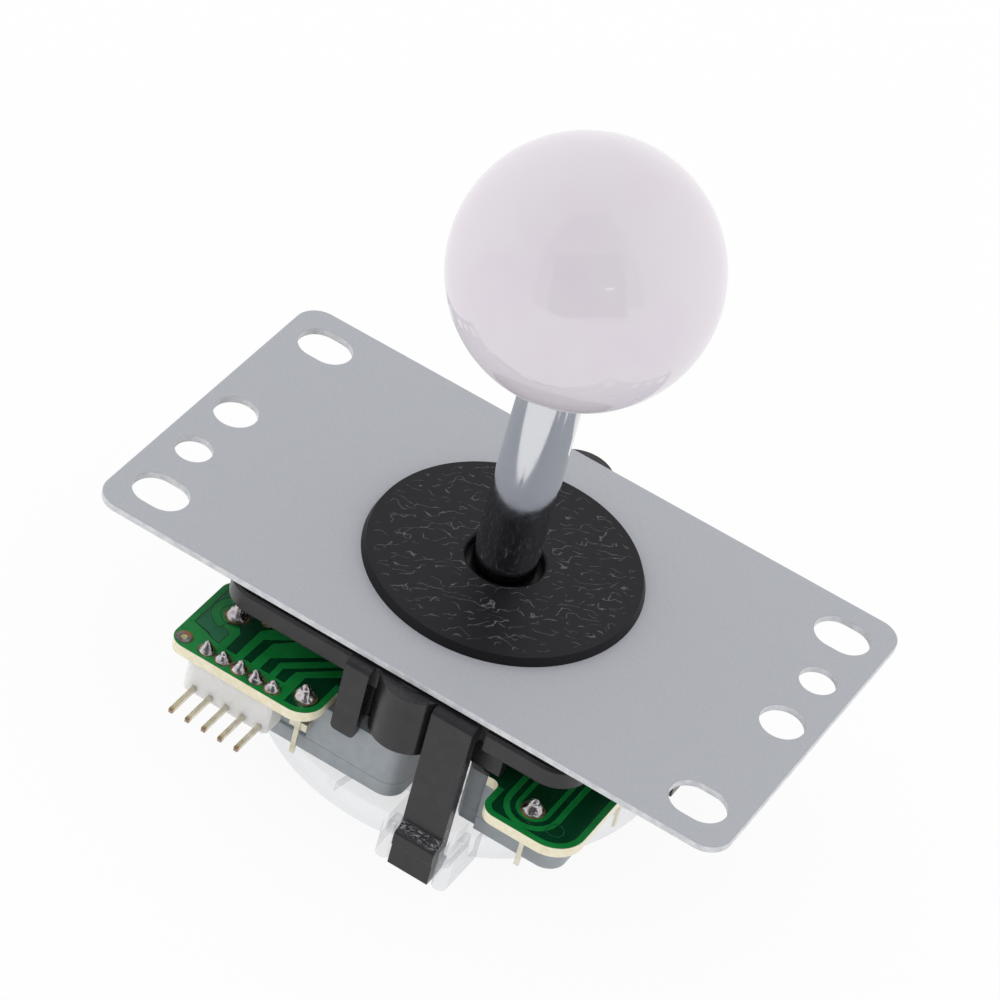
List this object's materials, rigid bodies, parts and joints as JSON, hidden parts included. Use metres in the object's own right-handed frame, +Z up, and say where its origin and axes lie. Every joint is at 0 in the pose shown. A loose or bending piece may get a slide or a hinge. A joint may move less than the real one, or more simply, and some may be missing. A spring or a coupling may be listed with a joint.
{
  "type": "arcade joystick lever",
  "caption": "Ball-top arcade joystick on a slotted steel plate, with a sprung pivoting shaft, snap-in black housing, lever switches on a circuit board and a clear square gate.",
  "frame": {"origin": "centre of the mounting plate's top face, on the lever's axis at rest", "axes": "+Z up the lever, +X along the plate's long edge, the connector at the front left corner towards -X and -Y"},
  "size_m": [0.095, 0.0671, 0.096],
  "materials": {
    "plate_steel": "satin",
    "ball_white": "gloss",
    "insert_brass": "plain",
    "shaft_steel": "polished",
    "pivot_black": "plain",
    "collar_black": "plain",
    "spring_steel": "plain",
    "actuator_white": "plain",
    "ring_steel": "plain",
    "washer_black": "wrinkled satin",
    "screw_steel": "zinc plated",
    "housing_black": "satin",
    "board_green": "solder mask",
    "solder": "bright",
    "pin_tin": "tin plated",
    "header_white": "milky",
    "gate_clear": "clear",
    "switch_grey": "satin",
    "plunger_cream": "plain"
  },
  "bodies": {
    "base": {"circuit_board": "board_green", "dust_washer": "washer_black", "gate_frame": "gate_clear", "gate_plate": "gate_clear", "header_housing": "header_white", "header_pins": "pin_tin", "housing": "housing_black", "mounting_plate": "plate_steel", "plate_screws": "screw_steel", "solder_joints": "solder", "switch_case_back": "switch_grey", "switch_case_front": "switch_grey", "switch_case_left": "switch_grey", "switch_case_right": "switch_grey", "switch_cover_back": "switch_grey", "switch_cover_front": "switch_grey", "switch_cover_left": "switch_grey", "switch_cover_right": "switch_grey", "switch_terminals_back": "pin_tin", "switch_terminals_front": "pin_tin", "switch_terminals_left": "pin_tin", "switch_terminals_right": "pin_tin"},
    "spring": {"return_spring": "spring_steel"},
    "pivot_ball": {"pivot": "pivot_black", "spring_collar": "collar_black"},
    "lever": {"shaft": "shaft_steel", "ball_top": "ball_white", "ball_insert": "insert_brass", "actuator": "actuator_white", "e_ring": "ring_steel"},
    "plunger_front": {"switch_plunger_front": "plunger_cream"},
    "plunger_right": {"switch_plunger_right": "plunger_cream"},
    "plunger_back": {"switch_plunger_back": "plunger_cream"},
    "plunger_left": {"switch_plunger_left": "plunger_cream"}
  },
  "joints": [
    {"name": "tilt_front_back", "type": "hinge", "parent": "base", "child": "spring", "pos_m": [0, 0, -0.0036], "axis": [1, 0, 0], "range_deg": [-7, 7], "stiffness_Nm_per_rad": 1.2},
    {"name": "tilt_left_right", "type": "hinge", "parent": "spring", "child": "pivot_ball", "pos_m": [0, 0, -0.0036], "axis": [0, 1, 0], "range_deg": [-7, 7], "stiffness_Nm_per_rad": 1.2, "deforming": ["return_spring"]},
    {"name": "shaft_spin", "type": "hinge", "parent": "pivot_ball", "child": "lever", "pos_m": [0, 0, -0.0036], "axis": [0, 0, 1], "continuous": true},
    {"name": "press_front", "type": "slide", "parent": "base", "child": "plunger_front", "axis": [0, -1, 0], "range_m": [-0.0013, 0.0013]},
    {"name": "press_right", "type": "slide", "parent": "base", "child": "plunger_right", "axis": [1, 0, 0], "range_m": [-0.0013, 0.0013]},
    {"name": "press_back", "type": "slide", "parent": "base", "child": "plunger_back", "axis": [0, 1, 0], "range_m": [-0.0013, 0.0013]},
    {"name": "press_left", "type": "slide", "parent": "base", "child": "plunger_left", "axis": [-1, 0, 0], "range_m": [-0.0013, 0.0013]}
  ],
  "couplings": [
    {"joint": "press_front", "follows": "tilt_front_back", "m_per_rad": -0.01064},
    {"joint": "press_right", "follows": "tilt_left_right", "m_per_rad": -0.01064},
    {"joint": "press_back", "follows": "tilt_front_back", "m_per_rad": 0.01064},
    {"joint": "press_left", "follows": "tilt_left_right", "m_per_rad": 0.01064}
  ]
}
